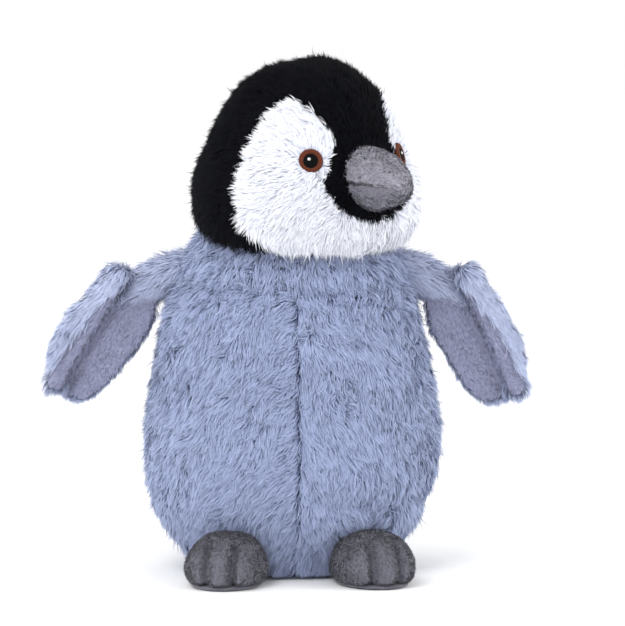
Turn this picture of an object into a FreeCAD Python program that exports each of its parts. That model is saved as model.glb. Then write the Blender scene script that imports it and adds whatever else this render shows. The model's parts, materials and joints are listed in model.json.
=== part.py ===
"""Plush penguin chick, about 300 mm tall: sewn panels, stuffing, and soft joints at neck, flippers and feet.

Frame: +Z up, the body faces -Y, the penguin's own left is +X. The origin is on the floor, under the
trunk's axis. Lengths are millimetres. A skin is a fabric panel with its pile, up to the mean pile height.
"""
import FreeCAD, Part
import os
import re

doc = FreeCAD.newDocument("plush_penguin")

# ---------------------------------------------------------------- driving dimensions
SIZES = {
    # trunk
    "trunk_height": 178.0,          # base to the neck opening
    "trunk_half_width": 84.5,       # at the belly
    "trunk_depth": 146.0,           # front to back at the belly
    "fur_skin": 9.0,                # backing and long pile
    "stuffing_gap": 0.1,            # between a fur skin and the stuffing inside it
    "base_rise": 8.0,               # how far the base panel turns up the sides
    "seam_thread": 0.8,             # width of a stitched line
    "seam_depth": 1.2,              # how far a stitched line stands on the stuffing
    "belly_seam_start": 22.0,
    "belly_seam_stop": 28.0,        # below the neck opening
    "closing_start": 40.0,          # lowest ladder stitch in the back seam
    "closing_pitch": 5.0,
    "closing_width": 6.0,
    # neck
    "neck_gap": 3.0,                # neck opening to the middle of the neck seam
    "neck_radius": 28.0,            # stuffing plug through the neck opening
    "neck_seam_radius": 1.8,        # half-thickness of the sewn ring
    "neck_clearance": 0.4,
    # head
    "head_lift": 8.0,               # neck seam to the underside of the head
    "head_height": 104.0,
    "head_half_width": 66.0,
    "head_depth": 130.0,
    "head_forward": 13.0,           # head's middle in front of the neck's axis
    "head_turn": 36.0,              # towards the penguin's own left
    "bridge_half_width": 17.0,      # black strip between the cheeks
    "mask_radius": 28.0,            # black patch round the beak
    "cheek_azimuth": 49.0,          # middle of a cheek, from the face's centre line
    "cheek_half_width": 33.0,
    "cheek_half_height": 43.0,
    "cheek_rise": 40.0,             # middle of a cheek above the head's underside
    "chin_rise": 27.0,              # top of the white chin above the head's underside
    # beak
    "beak_rise": 37.0,              # mouth seam above the head's underside
    "beak_half_width": 19.5,
    "beak_length": 24.0,            # how far the tip stands out of the face
    "beak_set": 17.0,               # how far the middle of the beak's oval is sunk in the face
    "beak_top": 21.0,
    "beak_drop": 16.5,
    "short_skin": 2.4,              # short-pile fabric
    # eyes
    "eye_azimuth": 37.5,
    "eye_rise": 47.5,               # above the head's underside
    "eye_tilt": 16.0,
    "eye_ring_radius": 6.9,
    "eye_pupil_radius": 4.3,
    "eye_glint_radius": 0.9,
    "eye_set": 18.0,                # from the widest ring of the head in to the back of the embroidery
    "eye_depth": 8.5,
    # flippers
    "flipper_half_length": 46.0,
    "flipper_half_width": 23.5,
    "flipper_half_thickness": 10.0,
    "flipper_rim": 5.5,             # long pile that wraps round the edge
    "flipper_skin": 4.5,
    "shoulder_reach": 16.9,         # lift axis outside the middle of the root seam
    "shoulder_raise": 6.0,          # lift axis above the middle of the root seam
    "shoulder_grip": 13.0,          # lift axis to the flipper's root end
    "droop_left": 57.0,             # below the horizontal
    "droop_right": 50.0,
    "shoulder_share": 0.882,        # root seam's level, as a share of the trunk's height
    "shoulder_width_share": 0.802,  # trunk's half-width there, as a share of its widest
    "shoulder_seam_gap": 3.33,      # middle of the root seam, outside the trunk's side there
    "shoulder_seam_lean": 14.0,     # towards the trunk, as its side leans
    "shoulder_seam_radius": 1.7,
    "shoulder_seam_length": 20.0,
    # feet
    "foot_half_width": 24.0,
    "foot_half_length": 31.0,
    "foot_half_height": 17.0,
    "foot_out": 41.0,
    "foot_tuck": 7.0,               # middle of the foot's oval, behind the belly's front
    "foot_lift": 13.0,              # middle of the foot's oval above the floor
    "foot_splay": 14.0,
    "sole_height": 4.0,
    "foot_clearance": 2.6,
    "toe_spacing": 15.0,            # between the two stitch lines
    "toe_stitch": 1.2,
    "toe_stitch_length": 19.0,
}

# Outlines, as (share of the height, share of the half-width), from the bottom up.
# The trunk's runs a little below the floor, which cuts it flat.
TRUNK_FORM = [(-0.01, 0.52), (0.028, 0.64), (0.084, 0.735), (0.157, 0.865), (0.253, 0.958), (0.382, 1.0),
              (0.517, 0.982), (0.669, 0.917), (0.815, 0.846), (0.9, 0.79), (0.955, 0.7), (0.987, 0.56),
              (1.0, 0.44)]
HEAD_FORM = [(0.0, 0.5), (0.029, 0.7), (0.087, 0.885), (0.163, 0.975), (0.245, 1.0), (0.36, 0.96),
             (0.49, 0.885), (0.625, 0.8), (0.74, 0.705), (0.837, 0.59), (0.913, 0.45), (0.971, 0.27),
             (1.0, 0.12)]
CLOSING_STITCHES = 7
TOES = 3
WINDOW_REACH = 3.0                  # depth of the lining's oval, in half-thicknesses of the flipper
ROLL_FLATNESS = 2.0                 # front-to-back size of the root seam over its thickness
FAR = 400.0                         # larger than the whole toy, for the boxes that part the skins

sheet = doc.addObject("Spreadsheet::Sheet", "sizes")
for row, (alias, value) in enumerate(SIZES.items(), start=1):
    sheet.set(f"A{row}", alias)
    sheet.set(f"B{row}", str(value))
    sheet.setAlias(f"B{row}", alias)
doc.recompute()

pieces = []


# ---------------------------------------------------------------- helpers
def add(kind, name, **sizes):
    """Add an object; each keyword binds a property to an expression (X__Y stands for X.Y)."""
    item = doc.addObject(kind, name)
    for prop, expression in sizes.items():
        item.setExpression(prop.replace("__", "."), expression)
    return item


def cell(words):
    """An expression with each driving dimension's name turned into its cell."""
    return re.sub("[a-z_]+", lambda word: f"sizes.{word[0]}" if word[0] in SIZES else word[0], words)


def place(item, *steps):
    """Place an item by steps such as ("move", x, y, z) and ("turn", axis, angle), outermost first."""
    if not steps:
        return item
    parts = []
    for step in steps:
        if step[0] == "move":
            x, y, z = (cell(str(value)) for value in step[1:])
            parts.append(f"placement(vector({x}; {y}; {z}); rotation(vector(0; 0; 1); 0))")
        else:
            axis = "; ".join(str(value) for value in step[1])
            parts.append(f"placement(vector(0; 0; 0); rotation(vector({axis}); {cell(str(step[2]))}))")
    item.setExpression("Placement", " * ".join(parts))
    return item


def cut(name, base, tool):
    item = doc.addObject("Part::Cut", name)
    item.Base, item.Tool, item.Refine = base, tool, False
    return item


def common(name, *shapes):
    item = doc.addObject("Part::MultiCommon", name)
    item.Shapes, item.Refine = list(shapes), False
    return item


def fuse(name, *shapes):
    item = doc.addObject("Part::MultiFuse", name)
    item.Shapes, item.Refine = list(shapes), False
    return item


def piece(item, label):
    """Name a finished sub-part; its label is its file's name."""
    item.Label = label
    pieces.append(item)
    return item


def region(name, low, high):
    """A box between two corners, each a triple of numbers and driving dimensions."""
    sides = [f"({cell(str(b))}) - ({cell(str(a))})" for a, b in zip(low, high)]
    box = add("Part::Box", name, Length=sides[0], Width=sides[1], Height=sides[2])
    return place(box, ("move", *low))


def stack(name, form, base, height, half_width, depth, shrink):
    """A closed form lofted through circles and squeezed front to back to its own depth."""
    circles = []
    for level, share in form:
        circle = add("Part::Circle", f"{name}_ring", Radius=cell(f"({half_width} - ({shrink})) * {share}"))
        rise = f"({height} - 2 * ({shrink})) * {level}"
        circles.append(place(circle, ("move", 0, 0, f"{base} + ({shrink}) + {rise}")))
    loft = doc.addObject("Part::Loft", f"{name}_round")
    loft.Sections = circles
    loft.Solid = True
    ratio = f"({depth} / 2 - ({shrink})) / ({half_width} - ({shrink}))"
    squeezed = add("Part::Scale", name, YScale=cell(ratio))
    squeezed.Base = loft
    squeezed.Uniform = False
    return squeezed


def trunk_form(name, shrink):
    return stack(name, TRUNK_FORM, "0", "trunk_height", "trunk_half_width", "trunk_depth", shrink)


def ball(name, radius, *steps):
    return place(add("Part::Sphere", name, Radius=cell(radius)), *steps)


def oval(name, across, along, up, *steps):
    """An ellipsoid with its three half-lengths along X, Y and Z."""
    item = add("Part::Ellipsoid", name, Radius1=cell(up), Radius2=cell(across), Radius3=cell(along))
    item.Angle1, item.Angle2, item.Angle3 = -90, 90, 360
    return place(item, *steps)


NECK_LEVEL = "(trunk_height + neck_gap)"
HEAD_BASE = "(trunk_height + neck_gap + head_lift)"
MOUTH = f"({HEAD_BASE} + beak_rise)"
SEAM_LEVEL = "(trunk_height * shoulder_share)"
SEAM_OUT = "(trunk_half_width * shoulder_width_share + shoulder_seam_gap)"
SHOULDER_OUT = f"({SEAM_OUT} + shoulder_reach)"
NECK = ("move", 0, 0, NECK_LEVEL)
HEAD = ("turn", (0, 0, 1), "head_turn")
neck_pocket = ball("neck_pocket", "neck_radius + neck_clearance", NECK)


# ---------------------------------------------------------------- trunk
def build_trunk():
    """Four fur panels and a base round one stuffing, with the belly seam and the closing stitches."""
    outer = trunk_form("trunk_outer", "0")
    inner = trunk_form("trunk_inner", "fur_skin")
    seam_layer = cut("trunk_seam_layer", trunk_form("trunk_seam_form", "fur_skin - seam_depth"), inner)
    shell = cut("trunk_skin", cut("trunk_hollow", outer, inner), neck_pocket)
    bottom = region("trunk_bottom", (-FAR, -FAR, 0), (FAR, FAR, "base_rise"))
    sides = cut("trunk_sides", shell, bottom)

    plate = region("belly_seam_plate", ("-seam_thread / 2", -FAR, "belly_seam_start"),
                   ("seam_thread / 2", 0, "trunk_height - belly_seam_stop"))
    thread = common("belly_seam", seam_layer, plate)
    bars = []
    for count in range(CLOSING_STITCHES):
        low = f"closing_start + closing_pitch * {count}"
        bars.append(region(f"closing_bar_{count}", ("-closing_width / 2", 0, low),
                           ("closing_width / 2", FAR, f"{low} + seam_thread")))
    stitches = common("closing", seam_layer, fuse("closing_bars", *bars))
    threads = fuse("trunk_threads", thread, stitches)

    for side, low_x, high_x in (("left", 0, FAR), ("right", -FAR, 0)):
        for face, low_y, high_y in (("belly", -FAR, 0), ("back", 0, FAR)):
            quarter = region(f"{face}_{side}_region", (low_x, low_y, 0), (high_x, high_y, FAR))
            panel = common(f"{face}_{side}_whole", sides, quarter)
            piece(cut(f"{face}_{side}", panel, threads), f"{face}_panel_{side}")
    piece(common("base", shell, bottom), "base_panel")
    filling = trunk_form("trunk_filling", "fur_skin + stuffing_gap")
    piece(cut("stuffing", filling, neck_pocket), "body_fill")
    piece(thread, "belly_seam_thread")
    piece(stitches, "closing_stitches")


# ---------------------------------------------------------------- neck
def build_neck():
    """A plug of stuffing in the neck opening, ringed by the sewn seam."""
    plug = ball("neck_plug", "neck_radius", NECK)
    ring = add("Part::Torus", "neck_ring", Radius1=cell("neck_radius + neck_seam_radius"),
               Radius2=cell("neck_seam_radius"))
    place(ring, NECK)
    piece(plug, "neck_fill")
    piece(cut("neck_band", ring, plug), "neck_seam")


# ---------------------------------------------------------------- head
def head_form(name, shrink):
    """The head's form, facing -Y, with its middle in front of the neck's axis."""
    form = stack(name, HEAD_FORM, HEAD_BASE, "head_height", "head_half_width", "head_depth", shrink)
    return place(form, ("move", 0, "-head_forward", 0))


def eye_steps(side):
    """From the head's frame to an eye's own frame, whose Z points out of the eye."""
    return [("move", 0, "-head_forward", f"{HEAD_BASE} + eye_rise"),
            ("turn", (0, 0, 1), f"{side} * eye_azimuth"),
            ("move", 0, "eye_set - head_half_width", 0), ("turn", (1, 0, 0), "90 - eye_tilt")]


def build_head():
    """Black hood and brow, white cheeks, grey beak and sewn eyes round one stuffing."""
    outer = head_form("head_outer", "0")
    inner = head_form("head_inner", "fur_skin")
    pockets = []
    for side, sign in (("left", 1), ("right", -1)):
        pocket = add("Part::Cylinder", f"eye_{side}_pocket", Radius=cell("eye_ring_radius"))
        pocket.Height = FAR
        pockets.append(place(pocket, *eye_steps(sign)))
    openings = fuse("head_openings", neck_pocket, *pockets)
    shell = cut("head_skin", cut("head_hollow", outer, inner), openings)

    bridge = region("bridge_region", ("-bridge_half_width", -FAR, MOUTH),
                    ("bridge_half_width", "-head_forward", FAR))
    mask = add("Part::Cylinder", "mask_region", Radius=cell("mask_radius"))
    mask.Height = FAR
    place(mask, ("move", 0, "-head_forward", MOUTH), ("turn", (1, 0, 0), 90))
    dark = fuse("dark_region", bridge, mask)
    brow = common("brow", shell, dark)
    rest = cut("head_rest", shell, dark)

    beak = build_beak()
    piece(place(cut("brow_piece", brow, beak), HEAD), "brow_mask")

    for side, sign in (("left", 1), ("right", -1)):
        low_x, high_x = (0, FAR) if sign > 0 else (-FAR, 0)
        oval_region = oval(f"cheek_{side}_oval", "cheek_half_width", "head_half_width", "cheek_half_height",
                           ("move", 0, "-head_forward", f"{HEAD_BASE} + cheek_rise"),
                           ("turn", (0, 0, 1), f"{sign} * cheek_azimuth"), ("move", 0, "-head_half_width", 0))
        chin = region(f"chin_{side}_region", (low_x, -FAR, 0),
                      (high_x, "-head_forward", f"{HEAD_BASE} + chin_rise"))
        half = region(f"head_{side}_half", (low_x, -FAR, 0), (high_x, FAR, FAR))
        front = region(f"chin_{side}_front", ("-cheek_half_width", -FAR, 0),
                       ("cheek_half_width", "-head_forward", FAR))
        white = fuse(f"white_{side}_region", oval_region, common(f"chin_{side}", chin, front))
        cheek = cut(f"cheek_{side}_open", common(f"cheek_{side}_whole", rest, half, white), beak)
        piece(place(cheek, HEAD), f"cheek_{side}")
        hood = cut(f"hood_{side}_piece", common(f"hood_{side}_whole", rest, half), white)
        piece(place(hood, HEAD), f"hood_{side}")
        build_eye(side, sign)

    filling = head_form("head_filling", "fur_skin + stuffing_gap")
    piece(place(cut("head_core", cut("head_stuffing", filling, openings), beak), HEAD), "head_fill")


def build_beak():
    """Upper and lower short-pile halves, joined at the mouth seam, round their own stuffing."""
    middle = ("move", 0, "-head_forward - head_depth / 2 + beak_set", MOUTH)
    reach = "beak_length + beak_set"
    halves = []
    fills = []
    head = head_form("beak_seat", "fur_skin")
    for part, rise, start, end in (("upper", "beak_top", 0, 90), ("lower", "beak_drop", -90, 0)):
        skin = oval(f"beak_{part}_form", "beak_half_width", reach, rise, middle)
        core = oval(f"beak_{part}_core", "beak_half_width - short_skin", f"{reach} - short_skin",
                    f"{rise} - short_skin", middle)
        for form in (skin, core):
            form.Angle1, form.Angle2 = start, end
        halves.append(cut(f"beak_{part}_out", skin, head))
        fills.append(core)
    core = cut("beak_core_out", fuse("beak_core", *fills), head)
    for part, half in zip(("upper", "lower"), halves):
        piece(place(cut(f"beak_{part}_piece", half, core), HEAD), f"beak_{part}")
    whole = fuse("beak_whole", *halves)
    piece(place(common("beak_fill_piece", core, whole), HEAD), "beak_fill")
    return whole


def build_eye(side, sign):
    """An embroidered ring, pupil and highlight, standing on the stuffing inside the cheek's pile."""
    disc = {}
    for part, radius, rise in (("ring", "eye_ring_radius", "eye_depth"),
                               ("pupil", "eye_pupil_radius", "eye_depth + seam_thread"),
                               ("glint", "eye_glint_radius", "eye_depth + 2 * seam_thread")):
        disc[part] = add("Part::Cylinder", f"eye_{side}_{part}_disc", Radius=cell(radius), Height=cell(rise))
    place(disc["glint"], ("move", "-eye_glint_radius", "eye_glint_radius", 0))
    ring = cut(f"eye_{side}_ring_piece", disc["ring"], disc["pupil"])
    pupil = cut(f"eye_{side}_pupil_piece", disc["pupil"], disc["glint"])
    steps = [HEAD] + eye_steps(sign)
    piece(place(ring, *steps), f"eye_{side}_ring")
    piece(place(pupil, *steps), f"eye_{side}_pupil")
    glint = common(f"eye_{side}_glint_piece", disc["glint"])
    piece(place(glint, *steps), f"eye_{side}_glint")


# ---------------------------------------------------------------- flippers
def build_flipper(side, sign):
    """A long-pile outer panel that wraps round a short-pile lining, and the root seam it hangs from."""
    if sign > 0:
        angle = f"droop_{side}"
    else:
        angle = f"180 - droop_{side}"
    steps = [("move", f"{sign} * {SHOULDER_OUT}", 0, f"{SEAM_LEVEL} + shoulder_raise"),
             ("turn", (0, 1, 0), angle), ("move", "flipper_half_length - shoulder_grip", 0, 0)]
    outer = oval(f"flipper_{side}_form", "flipper_half_length", "flipper_half_thickness",
                 "flipper_half_width")
    inner = oval(f"flipper_{side}_core", "flipper_half_length - flipper_skin",
                 "flipper_half_thickness - flipper_skin", "flipper_half_width - flipper_skin")
    shell = cut(f"flipper_{side}_skin", outer, inner)
    window = oval(f"flipper_{side}_window", "flipper_half_length - flipper_rim",
                  f"flipper_half_thickness * {WINDOW_REACH}", "flipper_half_width - flipper_rim")
    front = region(f"flipper_{side}_front", (-FAR, -FAR, -FAR), (FAR, 0, FAR))
    opening = common(f"flipper_{side}_opening", window, front)
    piece(place(cut(f"flipper_{side}_fur", shell, opening), *steps), f"flipper_{side}_outer")
    piece(place(common(f"flipper_{side}_inside", shell, opening), *steps), f"flipper_{side}_lining")
    piece(place(common(f"flipper_{side}_stuffing", inner), *steps), f"flipper_{side}_fill")

    seam = oval(f"shoulder_{side}_roll", "shoulder_seam_radius", f"shoulder_seam_radius * {ROLL_FLATNESS}",
                "shoulder_seam_length / 2", ("move", f"{sign} * {SEAM_OUT}", 0, SEAM_LEVEL),
                ("turn", (0, 1, 0), f"{-sign} * shoulder_seam_lean"))
    piece(seam, f"shoulder_seam_{side}")


# ---------------------------------------------------------------- feet
def foot_oval(side, sign, name, shrink):
    return oval(f"foot_{side}_{name}", f"foot_half_width - {shrink}", f"foot_half_length - {shrink}",
                f"foot_half_height - {shrink}", *foot_steps(sign))


def foot_steps(sign):
    return [("move", f"{sign} * foot_out", "foot_tuck - trunk_depth / 2", "foot_lift"),
            ("turn", (0, 0, 1), f"{sign} * foot_splay")]


def build_foot(side, sign, keep_out):
    """A short-pile upper and a sole round stuffing, with two pulled stitch lines that part three toes."""
    ground = region(f"foot_{side}_ground", (-FAR, -FAR, -FAR), (FAR, FAR, 0))
    raised = region(f"foot_{side}_inner_ground", (-FAR, -FAR, -FAR), (FAR, FAR, "short_skin"))
    outer = cut(f"foot_{side}_flat", foot_oval(side, sign, "form", "0"), ground)
    outer = cut(f"foot_{side}_body", outer, keep_out)
    inner = cut(f"foot_{side}_inner", foot_oval(side, sign, "core", "short_skin"), raised)
    core = common(f"foot_{side}_stuffing", inner, outer)
    shell = cut(f"foot_{side}_skin", outer, inner)
    low = region(f"foot_{side}_low", (-FAR, -FAR, 0), (FAR, FAR, "sole_height"))

    layer = cut(f"foot_{side}_layer", shell, foot_oval(side, sign, "under", "toe_stitch"))
    plates = []
    for count in range(TOES - 1):
        middle = f"toe_spacing * {count - (TOES - 2) / 2}"
        plate = add("Part::Box", f"foot_{side}_groove_{count}", Length=cell("toe_stitch"),
                    Width=cell("toe_stitch_length"), Height=cell("foot_half_height"))
        place(plate, *foot_steps(sign), ("move", f"{middle} - toe_stitch / 2", "-foot_half_length", 0))
        plates.append(plate)
    stitches = common(f"foot_{side}_stitches", layer, fuse(f"foot_{side}_grooves", *plates))
    upper = cut(f"foot_{side}_upper", cut(f"foot_{side}_high", shell, low), stitches)
    piece(upper, f"foot_{side}_top")
    piece(common(f"foot_{side}_under_piece", shell, low), f"foot_{side}_sole")
    piece(core, f"foot_{side}_fill")
    piece(stitches, f"foot_{side}_toe_stitches")


build_trunk()
build_neck()
build_head()
trunk_keep_out = trunk_form("trunk_keep_out", "-foot_clearance")
for own_side, direction in (("left", 1), ("right", -1)):
    build_flipper(own_side, direction)
    build_foot(own_side, direction, trunk_keep_out)
doc.recompute()

# ---------------------------------------------------------------- check, then write
for item in doc.Objects:
    if "Invalid" in item.State or "Error" in item.State:
        raise RuntimeError(f"{item.Name} failed: {item.State}")
for item in pieces:
    if item.Shape.isNull() or not item.Shape.isValid() or item.Shape.Volume <= 0:
        raise RuntimeError(f"{item.Label} has no valid solid")
os.makedirs("parts", exist_ok=True)
for item in pieces:
    item.Shape.exportStep(f"parts/{item.Label}.step")
    print(f"{item.Label:28s} {len(item.Shape.Solids):2d} solids {item.Shape.Volume / 1000:9.2f} cm3")
print(len(pieces), "pieces")
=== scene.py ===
import json
import math

import bpy
import numpy as np
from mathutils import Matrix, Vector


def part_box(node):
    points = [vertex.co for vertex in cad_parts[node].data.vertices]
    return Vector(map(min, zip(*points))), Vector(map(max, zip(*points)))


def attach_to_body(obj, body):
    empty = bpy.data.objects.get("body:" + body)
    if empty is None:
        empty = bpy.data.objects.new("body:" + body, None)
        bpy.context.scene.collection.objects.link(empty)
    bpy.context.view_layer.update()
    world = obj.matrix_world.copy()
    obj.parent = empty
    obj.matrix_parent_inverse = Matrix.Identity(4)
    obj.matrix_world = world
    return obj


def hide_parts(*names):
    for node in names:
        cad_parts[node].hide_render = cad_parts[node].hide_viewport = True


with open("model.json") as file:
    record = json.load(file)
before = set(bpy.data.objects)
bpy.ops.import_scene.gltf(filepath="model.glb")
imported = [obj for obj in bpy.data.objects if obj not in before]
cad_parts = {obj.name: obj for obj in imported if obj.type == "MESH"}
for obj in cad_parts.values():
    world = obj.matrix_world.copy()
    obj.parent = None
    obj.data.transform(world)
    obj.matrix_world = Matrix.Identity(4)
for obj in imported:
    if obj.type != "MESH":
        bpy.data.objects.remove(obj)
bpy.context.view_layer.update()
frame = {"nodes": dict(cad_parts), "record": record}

MM = 0.001


# ---------------------------------------------------------------- camera, floor and light
# A plain white studio: a pale floor, one broad soft light above the camera, a weaker one on each side, and an
# even white surround.
def set_the_stage():
    """A very long lens, a little above the toy's middle and just to its right, aimed at the body."""
    scene = bpy.context.scene
    scene.view_settings.view_transform = "Standard"
    azimuth, elevation, distance, lens = math.radians(-4.0), math.radians(6.0), 4.0, 404.5
    aim = np.array([0.0118, 0.0, 0.1462])
    back = np.array([math.sin(azimuth) * math.cos(elevation), -math.cos(azimuth) * math.cos(elevation),
                     math.sin(elevation)])
    data = bpy.data.cameras.new("studio_camera")
    data.lens = lens
    camera = bpy.data.objects.new("studio_camera", data)
    camera.location = aim + back * distance
    camera.rotation_euler = (math.pi / 2 - elevation, 0, azimuth)
    scene.collection.objects.link(camera)
    scene.camera = camera

    surround = bpy.data.worlds.new("white_surround")
    surround.use_nodes = True
    surround.node_tree.nodes["Background"].inputs["Color"].default_value = (1, 1, 1, 1)
    surround.node_tree.nodes["Background"].inputs["Strength"].default_value = 1.0
    scene.world = surround
    for name, place, size, power in (("key_softbox", (-0.7, -1.3, 1.5), 0.9, 16.0),
                                     ("left_softbox", (-1.6, 0.1, 0.6), 0.8, 5.0),
                                     ("right_softbox", (1.5, -0.5, 0.9), 0.9, 7.0)):
        light = bpy.data.lights.new(name, "AREA")
        light.size, light.energy = size, power
        lamp = bpy.data.objects.new(name, light)
        lamp.location = place
        direction = aim - np.array(place)
        lamp.rotation_euler = (math.acos(direction[2] / np.linalg.norm(direction)) + math.pi, 0,
                               math.atan2(direction[1], direction[0]) + math.pi / 2)
        scene.collection.objects.link(lamp)


set_the_stage()


def material(name, finish):
    """An empty node material with one shader, and a short way to add a node with its settings and links."""
    made = bpy.data.materials.new(name)
    made.use_nodes = True
    tree = made.node_tree
    shader = tree.nodes["Principled BSDF"]
    for socket, value in finish.items():
        shader.inputs[socket].default_value = value

    def node(kind, links=(), **settings):
        added = tree.nodes.new(kind)
        for key, value in settings.items():
            if key in added.inputs:
                added.inputs[key].default_value = value
            else:
                setattr(added, key, value)
        for socket, source in dict(links).items():
            tree.links.new(source, added.inputs[socket])
        return added

    return made, shader, tree, node


def linear(code):
    """sRGB hex to linear: the usual power curve with its straight foot."""
    share = np.array([int(code[i:i + 2], 16) for i in (1, 3, 5)]) / 255
    value = np.where(share <= 0.04045, share / 12.92, ((share + 0.055) / 1.055) ** 2.4)
    return (*value.tolist(), 1.0)


def lay_the_floor():
    """A wide flat sheet of matt paper, level with the soles."""
    corners = np.array([(-4, -4, 0), (4, -4, 0), (4, 4, 0), (-4, 4, 0)], float) - (0, 0, 0.0002)
    mesh = bpy.data.meshes.new("paper_floor")
    mesh.from_pydata(corners.tolist(), [], [(0, 1, 2, 3)])
    floor = bpy.data.objects.new("paper_floor", mesh)
    bpy.context.scene.collection.objects.link(floor)
    paper, shader, tree, node = material("matt_paper", {"Roughness": 0.9, "Specular IOR Level": 0.2})
    shader.inputs["Base Color"].default_value = linear("#FFFFFF")
    mesh.materials.append(paper)


lay_the_floor()

# ---------------------------------------------------------------- trunk cover
# The sewn bag of the body: knitted polyester backing in four panels and a base, stuffed firmly with loose
# fibre. Its seams are turned in, so each one pulls a shallow furrow that the long pile parts over.
TRUNK_INSET = 4.5 * MM               # from the mean height of the pile down to the backing
TRUNK_OUTLINE = [(0.0, 0.0), (0.3, 0.0), (0.52, 0.004), (0.64, 0.03), (0.735, 0.084), (0.865, 0.157),
                 (0.958, 0.253), (1.0, 0.382), (0.985, 0.517), (0.93, 0.669), (0.865, 0.815), (0.81, 0.9),
                 (0.72, 0.955), (0.6, 0.985), (0.3, 1.0), (0.0, 1.0)]


def spline(stations, steps):
    """A natural cubic through the stations, spaced by chord length: solves for the second derivatives."""
    points = np.array(stations, float)
    chord = np.r_[0, np.cumsum(np.linalg.norm(np.diff(points, axis=0), axis=1))]
    gap = np.diff(chord)
    size = len(points)
    rows = np.eye(size)
    right = np.zeros_like(points)
    inner = np.arange(1, size - 1)
    rows[inner, inner - 1], rows[inner, inner + 1] = gap[:-1] / 6, gap[1:] / 6
    rows[inner, inner] = (gap[:-1] + gap[1:]) / 3
    slope = np.diff(points, axis=0) / gap[:, None]
    right[1:-1] = slope[1:] - slope[:-1]
    bend = np.linalg.solve(rows, right)
    at = np.linspace(0, chord[-1], steps)
    k = np.clip(np.searchsorted(chord, at, side="right") - 1, 0, size - 2)
    a = ((chord[k + 1] - at) / gap[k])[:, None]
    b = 1 - a
    h2 = (gap[k] ** 2 / 6)[:, None]
    return a * points[k] + b * points[k + 1] + ((a ** 3 - a) * bend[k] + (b ** 3 - b) * bend[k + 1]) * h2


def unit(vectors):
    return vectors / np.maximum(np.linalg.norm(vectors, axis=-1, keepdims=True), 1e-12)


def lumps(points, scale, seed):
    """Soft unevenness from -1 to 1: a sum of sine waves in eight fixed directions, near the given length."""
    rng = np.random.default_rng(seed)
    waves = unit(rng.normal(size=(8, 3))) * (2 * np.pi / scale) * rng.uniform(0.7, 1.4, (8, 1))
    return np.sin(points @ waves.T + rng.uniform(0, 6.28, 8)).sum(-1) / 4


def sway(points, scale, seeds):
    """Unevenness of its own along each axis, one seed to an axis."""
    return np.stack([lumps(points, scale, seed) for seed in seeds], -1)


def solid(name, verts, quads, tris=None):
    """A smooth mesh object at the origin from arrays of corners."""
    tris = np.zeros((0, 3), int) if tris is None else tris
    mesh = bpy.data.meshes.new(name)
    mesh.vertices.add(len(verts))
    mesh.vertices.foreach_set("co", np.ascontiguousarray(verts, np.float32).ravel())
    corners = np.r_[quads.ravel(), tris.ravel()].astype(np.int32)
    starts = np.r_[np.arange(len(quads)) * 4, len(quads) * 4 + np.arange(len(tris)) * 3].astype(np.int32)
    mesh.loops.add(len(corners))
    mesh.loops.foreach_set("vertex_index", corners)
    mesh.polygons.add(len(starts))
    mesh.polygons.foreach_set("loop_start", starts)
    mesh.polygons.foreach_set("use_smooth", np.ones(len(starts), bool))
    mesh.update(calc_edges=True)
    made = bpy.data.objects.new(name, mesh)
    bpy.context.scene.collection.objects.link(made)
    return made


def ring_faces(rows, around):
    """Quads between closed rings and triangles to the pole at each end; the poles are the last corners."""
    i, j = np.meshgrid(np.arange(rows - 1), np.arange(around), indexing="ij")
    k = (j + 1) % around
    low, high = i * around, (i + 1) * around
    quads = np.stack([low + j, low + k, high + k, high + j], -1).reshape(-1, 4)
    j, k, last, pole = j[0], k[0], (rows - 1) * around, np.full(around, rows * around)
    return quads, np.vstack([np.stack([pole, k, j], -1), np.stack([pole + 1, last + j, last + k], -1)])


def closed_form(name, rings):
    """A mesh of closed rings from one pole to the other; the first and last ring shrink to single points.
    Faces are turned to point away from the middle of the form."""
    verts = np.vstack([rings[1:-1].reshape(-1, 3), rings[0].mean(0), rings[-1].mean(0)])
    quads, tris = ring_faces(rings.shape[0] - 2, rings.shape[1])
    a, b, d = verts[quads[:, 0]], verts[quads[:, 1]], verts[quads[:, 3]]
    if (np.cross(b - a, d - a) * (a - verts.mean(0))).sum() < 0:
        quads, tris = quads[:, ::-1], tris[:, ::-1]
    return solid(name, verts, quads, tris)


def points_of(piece):
    """A piece's corners and their normals as two arrays."""
    mesh = piece.data
    corners = np.empty(len(mesh.vertices) * 3, np.float32)
    normals = np.empty(len(mesh.vertices) * 3, np.float32)
    mesh.vertices.foreach_get("co", corners)
    mesh.vertices.foreach_get("normal", normals)
    return corners.reshape(-1, 3).astype(float), normals.reshape(-1, 3).astype(float)


def press(piece, depth):
    """Move each corner inwards along its normal by its own depth."""
    corners, normals = points_of(piece)
    moved = corners - normals * depth[:, None]
    piece.data.vertices.foreach_set("co", moved.astype(np.float32).ravel())
    piece.data.update()


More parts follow.
